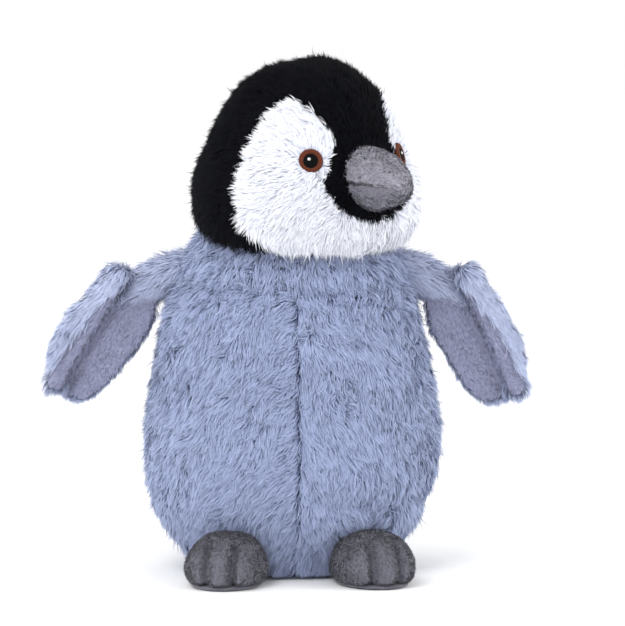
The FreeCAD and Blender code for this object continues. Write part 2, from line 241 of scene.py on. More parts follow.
def stuff(cover, voxel, cap):
    """Blow the sewn bag up from inside, as stuffing does: an even remesh, twenty frames of cloth under
    pressure, no corner moved further than cap, then one subdivision."""
    scene = bpy.context.scene
    even = cover.modifiers.new("even", "REMESH")
    even.mode, even.voxel_size = "VOXEL", voxel
    mesh = bpy.data.meshes.new_from_object(cover.evaluated_get(bpy.context.evaluated_depsgraph_get()))
    cover.modifiers.clear()
    cover.data = mesh
    start, _ = points_of(cover)
    cloth = cover.modifiers.new("stuffing", "CLOTH")
    cloth.settings.use_pressure = True
    cloth.settings.uniform_pressure_force = 4.0
    cloth.settings.quality = 5
    cloth.settings.effector_weights.gravity = 0.0
    for moment in range(1, 21):
        scene.frame_set(moment)
    blown = cover.evaluated_get(bpy.context.evaluated_depsgraph_get()).data
    end = np.empty(len(blown.vertices) * 3, np.float32)
    blown.vertices.foreach_get("co", end)
    travel = end.reshape(-1, 3) - start
    length = np.linalg.norm(travel, axis=1, keepdims=True)
    travel = travel * np.minimum(1, cap / np.maximum(length, 1e-9))
    cover.modifiers.clear()
    scene.frame_set(1)
    cover.data.vertices.foreach_set("co", (start + travel).astype(np.float32).ravel())
    finer = cover.modifiers.new("finer", "SUBSURF")
    finer.levels = finer.render_levels = 1
    mesh = bpy.data.meshes.new_from_object(cover.evaluated_get(bpy.context.evaluated_depsgraph_get()))
    cover.modifiers.clear()
    cover.data = mesh
    cover.data.polygons.foreach_set("use_smooth", np.ones(len(cover.data.polygons), bool))
    cover.data.update()


def barrel(outline, low, size, inset, steps, around):
    """Rings of an outline (share of half-width, share of height) turned round Z and squeezed front to back.
    size is (half-width, half-depth, height); inset takes the same amount off every side."""
    half_width, half_depth, height = size[0] - inset, size[1] - inset, size[2] - 2 * inset
    profile = spline(outline, steps)
    radius, level = np.maximum(profile[:, 0], 0), np.clip(profile[:, 1], 0, 1)
    angle = np.linspace(0, 2 * np.pi, around, endpoint=False)
    x = np.outer(radius, np.sin(angle)) * half_width
    y = -np.outer(radius, np.cos(angle)) * half_depth
    z = np.repeat((low + inset + level * height)[:, None], around, 1)
    return np.stack([x, y, z], -1)


def furrow(distance, depth, width):
    """How far a turned-in seam pulls the cloth: a bell curve of the distance from it."""
    return depth * np.exp(-(distance / width) ** 2)


def from_crease(points, start, end):
    """Distance of each point from a straight crease, seen from the front (X and Z only)."""
    flat, start, end = points[:, [0, 2]], np.array(start), np.array(end)
    share = (flat - start) @ (end - start) / ((end - start) ** 2).sum()
    return np.linalg.norm(flat - start - np.clip(share, 0, 1)[:, None] * (end - start), axis=1)


TRUNK_HIGH = np.array(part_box("back_panel_left")[1])
GROUND_GAP = 1.2 * MM                # from the floor to the backing, for the pile under it
trunk_rings = barrel(TRUNK_OUTLINE, 0.0, TRUNK_HIGH, TRUNK_INSET, 80, 140)
trunk_rings[..., 2] += GROUND_GAP - trunk_rings[..., 2].min()
trunk_rings[..., 2] *= (TRUNK_HIGH[2] - 3 * MM) / trunk_rings[..., 2].max()
trunk_cover = closed_form("trunk_cover", trunk_rings)
stuff(trunk_cover, 5 * MM, 3 * MM)
where, _ = points_of(trunk_cover)
front = where[:, 1] < 0
slant = from_crease(where, (0.006, 0.123), (0.062, 0.090))
fold = from_crease(where, (0.008, 0.050), (0.070, 0.044))
flat_below = np.clip(where[:, 2] / (12 * MM), 0, 1)
seam_share = 0.35 + 0.65 * np.clip((where[:, 2] - 50 * MM) / (40 * MM), 0, 1)
press(trunk_cover, flat_below * (furrow(where[:, 0], 2.0 * MM, 5 * MM) * seam_share
                                 + furrow(where[:, 1], 1.8 * MM, 6 * MM)
                                 + front * furrow(slant, 2.2 * MM, 5 * MM)
                                 + front * furrow(fold, 1.8 * MM, 6 * MM)
                                 - 1.7 * MM * lumps(where, 62 * MM, 3)))
where, _ = points_of(trunk_cover)
where[:, 2] = np.maximum(where[:, 2], GROUND_GAP)
trunk_cover.data.vertices.foreach_set("co", where.astype(np.float32).ravel())


def textile(name, finish, code, dark, pattern, relief, ends=(0.0, 1.0), grain=None):
    """Cloth or thread: its colour follows a pattern, from a darker share of the colour up to the colour,
    and its relief, given as (strength, depth), follows the same pattern or a finer grain."""
    made, shader, tree, node = material(name, finish)
    shade = np.array(linear(code))
    place = node("ShaderNodeTexCoord").outputs["Object"]
    kind, settings = pattern
    colour = node(kind, {"Vector": place}, **settings)
    ramp = node("ShaderNodeValToRGB", {"Fac": colour.outputs["Fac"]})
    first, last = ramp.color_ramp.elements
    first.color, last.color = (*(shade[:3] * dark).tolist(), 1), tuple(shade.tolist())
    first.position, last.position = ends
    tree.links.new(ramp.outputs["Color"], shader.inputs["Base Color"])
    height = node("ShaderNodeTexNoise", {"Vector": place}, **grain) if grain else colour
    bump = node("ShaderNodeBump", {"Height": height.outputs["Fac"]}, Strength=relief[0], Distance=relief[1])
    tree.links.new(bump.outputs["Normal"], shader.inputs["Normal"])
    return made


def backing(name, code):
    """Knitted polyester backing: dense and matt, with a loop texture 1 mm across; it shows between tufts."""
    return textile(name, {"Roughness": 0.9, "Sheen Weight": 0.2, "Specular IOR Level": 0.2}, code, 0.6,
                   ("ShaderNodeTexNoise", {"Scale": 1 / MM, "Detail": 2.0}), (0.4, 0.4 * MM))


def attach(piece, finish, body, nodes):
    """Give a finished piece its material and the body it rides on, and hide the CAD nodes it stands for."""
    piece.data.materials.append(finish)
    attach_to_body(piece, body)
    if nodes:
        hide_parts(*nodes)


grey_backing = backing("knitted_backing_grey", "#5A668A")
attach(trunk_cover, grey_backing, "trunk", ["body_fill"])


# ---------------------------------------------------------------- long pile of the trunk
# Polyester fur 10.5 mm long on the four body panels, brushed down and outwards from the front seam,
# where it parts. Fibres cling together in tufts, slate blue at the root and pale blue at the tips.
def roots_on(cover, density, seed):
    """Scatter roots over a mesh, so many to the square millimetre: triangles are drawn in proportion to
    their area, then a point in each."""
    mesh = cover.data
    mesh.calc_loop_triangles()
    tris = np.empty(len(mesh.loop_triangles) * 3, np.int32)
    mesh.loop_triangles.foreach_get("vertices", tris)
    tris = tris.reshape(-1, 3)
    verts, normals = points_of(cover)
    a, b, c = (verts[tris[:, k]] for k in range(3))
    area = np.linalg.norm(np.cross(b - a, c - a), axis=1) / 2
    count = int(area.sum() / MM ** 2 * density)
    rng = np.random.default_rng(seed)
    chosen = tris[rng.choice(len(tris), count, p=area / area.sum())]
    u, v = rng.random((2, count, 1))
    u, v = np.where(u + v > 1, 1 - u, u), np.where(u + v > 1, 1 - v, v)
    w = 1 - u - v
    point = verts[chosen[:, 0]] * w + verts[chosen[:, 1]] * u + verts[chosen[:, 2]] * v
    normal = normals[chosen[:, 0]] * w + normals[chosen[:, 1]] * u + normals[chosen[:, 2]] * v
    return point, unit(normal)


def nearest(points, centres):
    """For each point the index of the nearest centre, a block at a time."""
    length = (centres ** 2).sum(1)
    blocks = np.array_split(points, max(1, len(points) // 4000))
    return np.concatenate([np.argmin(length - 2 * block @ centres.T, axis=1) for block in blocks])


MOST_TUFTS = 4200                    # in one piece of pile, which bounds the search for a fibre's tuft
FLOOR_GAP = 0.6 * MM                 # no fibre bends lower than this


def grow_pile(name, roots, normals, comb, length, width, lift, seed, density, tuft=4.5, cling=0.42,
              wild=0.42, stray=0.03):
    """Pile as tapered ribbons of three triangles.

    A fibre leaves its root between the normal and the comb direction, by lift, and bends over towards the
    comb. Its middle and tip are pulled towards those of the fibre in the middle of its tuft, by cling; a
    few stray fibres stand clear. The "pile" attribute holds a random share for each fibre, the share of
    its length, and a random share for its tuft.
    """
    count = len(roots)
    rng = np.random.default_rng(seed)
    comb = unit(comb - (comb * normals).sum(1, keepdims=True) * normals)
    tilt = unit(comb + rng.normal(0, wild, (count, 3)))
    free = rng.random(count) < stray
    reach = (length * np.clip(rng.normal(1, 0.14, count), 0.6, 1.3) * np.where(free, 1.25, 1))[:, None]
    first = unit(normals * lift + tilt * (1 - lift))
    second = unit(normals * lift * 0.45 + tilt)
    middle = roots + first * reach * 0.5
    tip = middle + second * reach * 0.5
    for size, share in ((tuft, cling), (tuft * 0.45, cling * 0.8)):
        number = int(np.clip(count / (density * size ** 2), 8, MOST_TUFTS))
        centres = rng.choice(count, number, replace=False)
        own = centres[nearest(roots, roots[centres])]
        pull = np.where(free, 0, share)[:, None]
        tip = tip + pull * (tip[own] - tip)
        middle = middle + pull * 0.35 * (middle[own] - middle)
    tuft_share = rng.random(count)[own]
    middle[:, 2], tip[:, 2] = np.maximum(middle[:, 2], FLOOR_GAP), np.maximum(tip[:, 2], FLOOR_GAP)

    side = unit(np.cross(tip - roots, normals + rng.normal(0, 0.35, (count, 3)))) * width / 2
    verts = np.stack([roots - side, roots + side, middle - side * 0.85, middle + side * 0.85, tip], 1)
    base = np.arange(count)[:, None] * 5
    quads = base + np.array([0, 1, 3, 2])
    tris = base + np.array([2, 3, 4])
    face = np.cross(side, tip - roots)
    flip = (face * normals).sum(1) < 0
    quads[flip] = quads[flip][:, ::-1]
    tris[flip] = tris[flip][:, ::-1]
    made = solid(name, verts.reshape(-1, 3), quads, tris)

    colour = np.ones((count, 5, 4), np.float32)
    colour[..., 0] = rng.random(count)[:, None]
    colour[..., 1] = np.array([0, 0, 0.5, 0.5, 1.0])
    colour[..., 2] = tuft_share[:, None]
    made.data.attributes.new("pile", "FLOAT_COLOR", "POINT").data.foreach_set("color", colour.ravel())
    cells = math.ceil(math.sqrt(count))
    column, row = np.divmod(np.arange(count), cells)
    corner = np.array([(0.1, 0.1), (0.9, 0.1), (0.1, 0.5), (0.9, 0.5), (0.5, 0.9)])
    where = (np.stack([column, row], -1)[:, None] + corner) / cells
    index = np.empty(len(made.data.loops), np.int32)
    made.data.loops.foreach_get("vertex_index", index)
    cell_map = made.data.uv_layers.new(name="OFBake")
    cell_map.data.foreach_set("uv", where.reshape(-1, 2)[index].astype(np.float32).ravel())

    facing = unit(np.where(flip[:, None], -1, 1) * face)
    shading = np.repeat(unit(normals + facing * 0.3), 5, 0)
    made.data.normals_split_custom_set_from_vertices(shading.astype(np.float32))
    return made


def fur(name, root, tip, ghost=0.25, low=0.86, high=1.12, gloss=0.15):
    """Brushed polyester fur: matt, with the soft sheen of fine fibres; tint varies by fibre and by tuft."""
    made, shader, tree, node = material(name, {"Roughness": 0.75, "Sheen Weight": ghost,
                                               "Sheen Roughness": 0.5, "Specular IOR Level": gloss})
    read = node("ShaderNodeAttribute", attribute_name="pile")
    split = node("ShaderNodeSeparateColor", {"Color": read.outputs["Color"]})
    fibre = node("ShaderNodeValToRGB", {"Fac": split.outputs["Green"]})
    fibre.color_ramp.elements[0].color = linear(root)
    fibre.color_ramp.elements[1].color = linear(tip)
    place = node("ShaderNodeTexCoord")
    patches = node("ShaderNodeTexNoise", {"Vector": place.outputs["Object"]}, Scale=1 / (16 * MM), Detail=3.0)
    both = node("ShaderNodeMath", {0: split.outputs["Red"], 1: split.outputs["Blue"]}, operation="ADD")
    total = node("ShaderNodeMath", {0: both.outputs[0], 1: patches.outputs["Fac"]}, operation="ADD")
    value = node("ShaderNodeMapRange", {"Value": total.outputs[0]},
                 **{"From Min": 0.3, "From Max": 2.2, "To Min": low, "To Max": high})
    tint = node("ShaderNodeHueSaturation",
                {"Color": fibre.outputs["Color"], "Value": value.outputs["Result"]})
    tree.links.new(tint.outputs["Color"], shader.inputs["Base Color"])
    return made


def body_comb(points):
    """Down, and outwards from the front seam; more outwards on the penguin's right, with soft swirls."""
    x, y = points[:, 0], points[:, 1]
    away = np.sign(x) * furrow(x, 0.45, 12 * MM) * (y < 0) * np.clip((points[:, 2] - 0.03) / 0.05, 0, 1)
    outward = np.where(x < 0, -0.55, 0.12) + away
    comb = np.stack([outward, -0.2 + 0 * x, -1.0 + 0 * x], -1)
    return comb + 0.5 * np.stack([lumps(points, 40 * MM, 11), lumps(points, 40 * MM, 12), 0 * x], -1)


TRUNK_DENSITY = 2.3                  # fibres to the square millimetre, here and in each density below
FUR_LENGTH, FUR_WIDTH = 10.5 * MM, 0.55 * MM
blue_grey_fur = fur("blue_grey_long_fur", "#7A86AC", "#B4C0E0")
roots, normals = roots_on(trunk_cover, TRUNK_DENSITY, 21)
base = roots[:, 2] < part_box("base_panel")[1].z
for side, half in (("left", roots[:, 0] >= 0), ("right", roots[:, 0] < 0)):
    for face, part in (("belly", roots[:, 1] < 0), ("back", roots[:, 1] >= 0)):
        panel = f"{face}_panel_{side}"
        mine = half & part & ~base
        pile = grow_pile(f"{panel}_pile", roots[mine], normals[mine], body_comb(roots[mine]), FUR_LENGTH,
                         FUR_WIDTH, 0.5, 31 + len(panel), TRUNK_DENSITY)
        attach(pile, blue_grey_fur, "trunk", [panel])
under = base & (roots[:, 2] > 2 * MM)
pile = grow_pile("base_panel_pile", roots[under], normals[under], body_comb(roots[under]), 9 * MM,
                 0.6 * MM, 0.35, 47, TRUNK_DENSITY)
attach(pile, blue_grey_fur, "trunk", ["base_panel"])


# ---------------------------------------------------------------- stitched seams of the trunk
# Polyester thread 0.8 mm thick. The front seam is a row of short machine stitches at the bottom of its
# furrow; the opening for the stuffing, low on the back, is closed by hand with a ladder of seven.
def stitches(name, starts, ends, out, rise, radius):
    """Each stitch is a tube of six rings on an arc from start to end, which rises by rise in its middle
    and dips under the cloth at both ends."""
    rings, sides = 6, 8
    share = np.linspace(0, 1, rings)
    arc = np.sin(np.pi * share) * rise - np.abs(2 * share - 1) ** 6 * radius * 1.5
    path = starts[:, None] + (ends - starts)[:, None] * share[:, None] + out[:, None] * arc[:, None]
    across = unit(np.cross(ends - starts, out))[:, None, None]
    turn = np.linspace(0, 2 * np.pi, sides, endpoint=False)
    girth = radius * np.sqrt(1 - (0.85 * (2 * share - 1)) ** 4)[:, None, None]
    tube = path[:, :, None] + girth * (across * np.cos(turn)[:, None]
                                       + out[:, None, None] * np.sin(turn)[:, None])
    count = len(starts)
    ends_of = path[:, [0, -1]]
    verts = np.concatenate([tube.reshape(count, -1, 3), ends_of], 1)
    quad, cap = ring_faces(rings, sides)
    step = np.arange(count)[:, None, None] * (rings * sides + 2)
    made = solid(name, verts.reshape(-1, 3), (quad + step).reshape(-1, 4), (cap + step).reshape(-1, 3))
    bpy.context.view_layer.objects.active = made
    bpy.ops.object.mode_set(mode="EDIT")
    bpy.ops.mesh.select_all(action="SELECT")
    bpy.ops.mesh.normals_make_consistent(inside=False)
    bpy.ops.object.mode_set(mode="OBJECT")
    return made


def thread(name, code, twist=0.9, gloss=0.4):
    """Twisted polyester thread: a soft gloss, with the plies showing as fine slanting bands."""
    plies = {"bands_direction": "DIAGONAL", "Scale": 1 / (twist * 3 * MM), "Distortion": 1.0}
    return textile(name, {"Roughness": 0.45, "Sheen Weight": 0.05, "Specular IOR Level": gloss}, code, 0.65,
                   ("ShaderNodeTexWave", plies), (0.5, 0.1 * MM))


def skin_at(cover, wanted, ahead):
    """The cover's points nearest to the wanted ones as seen from ahead (-1 the front, 1 the back)."""
    corners, _ = points_of(cover)
    corners = corners[corners[:, 1] * ahead > 0]
    return corners[nearest(wanted[:, [0, 2]], corners[:, [0, 2]])]


seam_low, seam_high = (corner.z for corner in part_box("belly_seam_thread"))
STITCH_PITCH, THREAD_RADIUS = 3.2 * MM, 0.4 * MM
level = np.arange(seam_low, seam_high, STITCH_PITCH)
line = skin_at(trunk_cover, np.stack([0 * level, 0 * level, level], -1), -1) * (0, 1, 1)
grey_thread = thread("grey_sewing_thread", "#717A93")
seam = stitches("belly_seam_stitches", line[:-1] * (1, 1, 1), line[1:] - (0, 0, 0.5 * MM),
                np.tile((0.0, -1.0, 0.0), (len(line) - 1, 1)), 0.5 * MM, THREAD_RADIUS)
attach(seam, grey_thread, "trunk", ["belly_seam_thread"])
close_low, close_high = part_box("closing_stitches")
LADDER_RUNGS = 7
level = np.linspace(close_low.z, close_high.z, LADDER_RUNGS)
line = skin_at(trunk_cover, np.stack([0 * level, 0 * level, level], -1), 1) * (0, 1, 1)
half = np.array([close_high.x * 0.9, 0, 0])
ladder = stitches("closing_ladder", line - half + (0, 0.9 * MM, -0.6 * MM),
                  line + half + (0, 0.9 * MM, 0.6 * MM), np.tile((0.0, 1.0, 0.0), (LADDER_RUNGS, 1)),
                  1.0 * MM, THREAD_RADIUS)
attach(ladder, grey_thread, "trunk", ["closing_stitches"])


# ---------------------------------------------------------------- head cover
# A second stuffed bag, wider than it is high and narrower at the crown, set on the body turned to the
# penguin's left. Its backing is knitted in black for the hood and mask and in white for the cheeks.
HEAD_INSET = 5 * MM
HEAD_OUTLINE = [(0.0, 0.0), (0.3, 0.0), (0.52, 0.0), (0.7, 0.029), (0.885, 0.087), (0.975, 0.163),
                (1.0, 0.245), (0.96, 0.36), (0.885, 0.49), (0.8, 0.625), (0.705, 0.74), (0.59, 0.837),
                (0.45, 0.913), (0.27, 0.971), (0.1, 0.995), (0.0, 1.0)]
joints = {joint["name"]: joint for joint in frame["record"]["behaviour"]["joints"]}
nod = joints["head_nod"]["axis"]
HEAD_TURN = math.atan2(nod[1], nod[0])
hood_low = np.minimum(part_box("hood_left")[0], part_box("hood_right")[0])
hood_high = np.maximum(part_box("hood_left")[1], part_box("hood_right")[1])
HEAD_LOW, HEAD_HEIGHT = hood_low[2], hood_high[2] - hood_low[2]
HEAD_SIZE = (66 * MM, 65 * MM, HEAD_HEIGHT)
HEAD_FORWARD = 13 * MM
CHEEK_AZIMUTH, CHEEK_SPREAD = 48, 28.5                      # degrees: an oval's middle and its half-width
CHEEK_MIDDLE, CHEEK_HALF_HEIGHT = 0.228, 0.041              # levels are above the floor
CHIN_TOP, MASK_TOP = 0.218, 0.276
BRIDGE_FLARE, BRIDGE_HALF_WIDTH = 0.262, 17 * MM
MASK_RADIUS = 28.5 * MM
BEAK_LEVEL = (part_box("beak_upper")[0].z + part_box("beak_lower")[1].z) / 2


def turned(points, angle):
    """Points turned about the upright axis through the origin."""
    c, s = math.cos(angle), math.sin(angle)
    return points @ np.array([(c, s, 0), (-s, c, 0), (0, 0, 1)])


def to_head(points):
    """Into the head's own directions: it looks along -Y, from its own axis."""
    return turned(points, -HEAD_TURN) + (0, HEAD_FORWARD, 0)


def from_head(points):
    return turned(points - (0, HEAD_FORWARD, 0), HEAD_TURN)


def head_regions(points):
    """Which cloth each point of the head is on: 0 and 1 hood left and right, 2 brow and mask, 3 and 4
    cheek left and right. Cheeks are ovals joined under the beak; the mask is a disc round the beak with
    a bridge up to the crown. Every edge wanders by about a millimetre."""
    x, y, z = to_head(points).T
    azimuth = np.degrees(np.arctan2(x, -y))
    wander = lumps(points, 9 * MM, 51) * 1.2 * MM
    reach = (np.abs(azimuth) - CHEEK_AZIMUTH) / CHEEK_SPREAD
    height = (z - CHEEK_MIDDLE) / CHEEK_HALF_HEIGHT
    oval = reach ** 2 + height ** 2 < 1 + wander / (20 * MM)
    chin = (z < CHIN_TOP + wander) & (np.abs(azimuth) < 72 - (CHIN_TOP - z) * 150)
    squash = np.where(z < BEAK_LEVEL, 1.5, 1.15)
    disc = (np.hypot(x, (z - BEAK_LEVEL) * squash) < MASK_RADIUS + wander) & (y < 0)
    flare = np.clip(z - BRIDGE_FLARE, 0, 1) * 1.6
    bridge = (np.abs(x) < BRIDGE_HALF_WIDTH + wander + flare) & (z > BEAK_LEVEL) & (y < 0)
    white = (oval | chin) & ~disc & ~bridge
    masked = (disc | bridge) & (np.abs(azimuth) < 49) & (z < MASK_TOP)
    return np.where(white, np.where(x >= 0, 3, 4), np.where(masked, 2, np.where(x >= 0, 0, 1)))


head_rings = barrel(HEAD_OUTLINE, HEAD_LOW, HEAD_SIZE, HEAD_INSET, 64, 120)
sunk = np.clip((HEAD_LOW + 40 * MM - head_rings[..., 2]) / (40 * MM), 0, 1)
head_rings[..., 2] -= (HEAD_INSET + 1 * MM) * sunk
head_cover = closed_form("head_cover", from_head(head_rings.reshape(-1, 3)).reshape(head_rings.shape))
stuff(head_cover, 4 * MM, 2.5 * MM)
where, _ = points_of(head_cover)
local = to_head(where)
from_beak = np.hypot(local[:, 0], local[:, 2] - BEAK_LEVEL)
press(head_cover, furrow(local[:, 0], 1.2 * MM, 5 * MM) * (local[:, 1] > 0)
      + furrow(from_beak - 22 * MM, 1.2 * MM, 5 * MM) * (local[:, 1] < 0)
      - 1.2 * MM * lumps(where, 50 * MM, 5))
patch = (head_regions(points_of(head_cover)[0]) > 2).astype(np.float32)
BLACK_KNIT, WHITE_KNIT = 0.02, 0.7   # linear reflectance: the black, and what the white adds to it
shade = np.ones((len(patch), 4), np.float32)
shade[:, :3] = BLACK_KNIT + patch[:, None] * WHITE_KNIT
head_cover.data.attributes.new("patch", "FLOAT_COLOR", "POINT").data.foreach_set("color", shade.ravel())


def two_tone_backing(name):
    """Knitted backing in two colours: each point reads its own from the "patch" attribute."""
    made, shader, tree, node = material(name, {"Roughness": 0.9, "Specular IOR Level": 0.2})
    read = node("ShaderNodeAttribute", attribute_name="patch")
    place = node("ShaderNodeTexCoord")
    loops = node("ShaderNodeTexNoise", {"Vector": place.outputs["Object"]}, Scale=1 / MM, Detail=2.0)
    value = node("ShaderNodeMapRange", {"Value": loops.outputs["Fac"]}, **{"To Min": 0.7})
    tint = node("ShaderNodeHueSaturation", {"Color": read.outputs["Color"], "Value": value.outputs["Result"]})
    tree.links.new(tint.outputs["Color"], shader.inputs["Base Color"])
    return made


attach(head_cover, two_tone_backing("knitted_backing_black_and_white"), "head", ["head_fill"])


# ---------------------------------------------------------------- pile of the head
# The same fur in black and white, 9 mm long. It is brushed away from the beak, over the crown and down
# the back, trimmed to 5 mm round the eyes and beak, and 14 mm long at the neck, where it covers the seam.
def eye_frame(side):
    """Middle of an eye's front, 2 mm into the pile, its outward direction and the two directions across
    it: the ring's axis is the one direction in which it measures differently from the other two."""
    verts, _ = points_of(frame["nodes"][f"eye_{side}_ring"])
    centre = (verts.max(0) + verts.min(0)) / 2
    sizes, axes = np.linalg.svd(verts - verts.mean(0), full_matrices=False)[1:]
    odd = np.argmax(np.abs(sizes - np.median(sizes)))
    outward = axes[odd] * np.sign(axes[odd] @ (centre - from_head(np.array([[0, 0, centre[2]]]))[0]))
    centre = centre + outward * (((verts - centre) @ outward).max() - 2 * MM)
    across = unit(np.cross((0, 0, 1), outward))
    return centre, outward, across, np.cross(outward, across)


EYES = {side: eye_frame(side) for side in ("left", "right")}
BEAK_ROOT = from_head(np.array([[0, -HEAD_SIZE[1], BEAK_LEVEL]]))[0]


def head_comb(points):
    """Away from the beak and a little down; at the neck straight down; close to an eye away from it."""
    comb = unit(points - BEAK_ROOT) + (0, 0, -0.25)
    low = np.clip((HEAD_LOW + 26 * MM - points[:, 2]) / (20 * MM), 0, 1)[:, None]
    comb = unit(comb) * (1 - low) + low * (0, 0, -1.0)
    for centre, _, _, _ in EYES.values():
        gap = points - centre
        comb = comb + unit(gap) * furrow(np.linalg.norm(gap, axis=1), 2.0, 14 * MM)[:, None]
    return comb + 0.3 * sway(points, 30 * MM, (61, 62, 63))


def head_length(points):
    """Full length at the neck and back, shorter beside the beak and the eyes."""
    beak = np.clip((np.linalg.norm(points - BEAK_ROOT, axis=1) - 18 * MM) / (26 * MM), 0, 1)
    length = 5 * MM + 4 * MM * beak
    for centre, _, _, _ in EYES.values():
        near = np.clip((np.linalg.norm(points - centre, axis=1) - 6 * MM) / (16 * MM), 0, 1)
        length = np.minimum(length, 5.5 * MM + 5 * MM * near)
    low = np.clip((HEAD_LOW + 24 * MM - points[:, 2]) / (16 * MM), 0, 1)
    return length + 5.5 * MM * low


HEAD_DENSITY = 2.9
black_fur = fur("black_fur", "#020203", "#101117", ghost=0.02, gloss=0.04)
white_fur = fur("white_fur", "#E2E7F8", "#FBFCFF", ghost=0.15, low=0.97, high=1.02)
roots, normals = roots_on(head_cover, HEAD_DENSITY, 22)
clear = np.ones(len(roots), bool)
for centre, outward, _, _ in EYES.values():
    gap = roots - centre
    flat = gap - (gap @ outward)[:, None] * outward
    clear &= (np.linalg.norm(flat, axis=1) > 6.4 * MM) | (np.linalg.norm(gap, axis=1) > 30 * MM)
beak_gap = to_head(roots) - (0, 0, BEAK_LEVEL)
clear &= (np.hypot(beak_gap[:, 0], beak_gap[:, 2]) > 15 * MM) | (beak_gap[:, 1] > 0)
region = head_regions(roots)
for number, node in enumerate(("hood_left", "hood_right", "brow_mask", "cheek_left", "cheek_right")):
    finish, slot = (white_fur, "white_fur") if node.startswith("cheek") else (black_fur, "black_fur")
    mine = (region == number) & clear
    pile = grow_pile(f"{node}_pile", roots[mine], normals[mine], head_comb(roots[mine]),
                     head_length(roots[mine]), 0.6 * MM, 0.5, 71 + number, HEAD_DENSITY, tuft=3.2, cling=0.36,
                     stray=0.01)
    attach(pile, finish, "head", [node])


# ---------------------------------------------------------------- neck
# A short stuffed collar between the two bags, sewn to the body all round and hidden under long grey pile
# that is brushed down over the shoulders. It turns with the head.
neck_low, neck_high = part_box("neck_seam")
NECK_RADIUS = 60 * MM
neck_level = (neck_low.z + neck_high.z) / 2 - 1 * MM
neck_outline = [(0.0, 0.0), (0.6, 0.0), (0.96, 0.08), (1.0, 0.22), (0.95, 0.45), (0.85, 0.7), (0.76, 0.88),
                (0.5, 1.0), (0.0, 1.0)]
neck_rings = barrel(neck_outline, neck_level - 20 * MM, (NECK_RADIUS, NECK_RADIUS * 0.88, 38 * MM), 0, 24, 96)
neck_cover = closed_form("neck_collar", neck_rings)
attach(neck_cover, grey_backing, "neck", ["neck_fill"])
NECK_DENSITY = 2.0
roots, normals = roots_on(neck_cover, NECK_DENSITY, 23)
shown = (np.hypot(roots[:, 0], roots[:, 1]) > 0.6 * NECK_RADIUS) & (roots[:, 2] > neck_level - 14 * MM)
comb = np.stack([roots[:, 0] / NECK_RADIUS, roots[:, 1] / NECK_RADIUS, np.full(len(roots), -1.0)], -1)
pile = grow_pile("neck_pile", roots[shown], normals[shown], comb[shown], FUR_LENGTH, FUR_WIDTH, 0.5, 81,
                 NECK_DENSITY)
attach(pile, blue_grey_fur, "neck", ["neck_seam"])


# ---------------------------------------------------------------- beak
# Two halves of grey plush with a brushed pile of 2.6 mm, stuffed and sewn together along the mouth, which
# pulls the cloth into a crease. The upper half is fuller and bends down over the lower one at the tip.
BEAK_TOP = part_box("beak_upper")[1].z - BEAK_LEVEL
BEAK_DROP = BEAK_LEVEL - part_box("beak_lower")[0].z
BEAK_BACK, BEAK_REACH, BEAK_HALF_WIDTH = 46 * MM, 88 * MM, 19 * MM
NAP_ROOM = 2 * MM                    # between the outer size and the backing of short-pile cloth
LIP_BULGE = 1.8 * MM                 # how far each half bows towards the other
BEAK_FULL = {"upper": 4.5 * MM, "lower": 2.5 * MM}          # taken off each half's height for its nap
BEAK_DROOP = {"upper": 4.0 * MM, "lower": 1.0 * MM}         # how far its tip bends down


def beak_half(name, half, rise):
    """Rings across the beak: half an ellipse above the mouth (below it, when rise is negative), closed
    by a gently rounded lip; the rings shrink forwards as a blunt ellipse, and the tip bends down."""
    share = np.linspace(0, 1, 44)[:, None]
    size = (1 - share ** 2.3) ** 0.55
    angle = np.linspace(0, 2 * np.pi, 72, endpoint=False)[None]
    x = (BEAK_HALF_WIDTH - NAP_ROOM) * size * np.cos(angle)
    bulge = np.where(np.sin(angle) > 0, abs(rise) - BEAK_FULL[half], LIP_BULGE)
    z = np.sign(rise) * bulge * size * np.sin(angle) + np.sign(rise) * NAP_ROOM * size
    y = -(BEAK_BACK + (BEAK_REACH - BEAK_BACK - NAP_ROOM) * share) + 0 * angle
    droop = -BEAK_DROOP[half] * share ** (3 if half == "upper" else 2)
    local = np.stack([x + 0 * y, y, z + droop + BEAK_LEVEL], -1)
    local[0] = local[0].mean(0)
    local[-1] = local[-1].mean(0)
    made = closed_form(name, from_head(local.reshape(-1, 3)).reshape(local.shape))
    corners, _ = points_of(made)
    press(made, 0.5 * MM * lumps(corners, 16 * MM, 15))
    return made


def plush_backing(name, code):
    """Short brushed plush seen between its fibres: matt, with darker patches of painted shade and sheen for
    nap that lies in another direction.
    """
    return textile(name, {"Roughness": 0.85, "Sheen Weight": 0.35, "Specular IOR Level": 0.2}, code, 0.7,
                   ("ShaderNodeTexNoise", {"Scale": 1 / (7 * MM), "Detail": 6.0}), (0.5, 0.3 * MM),
                   (0.35, 0.65), {"Scale": 1 / (0.6 * MM), "Detail": 2.0})


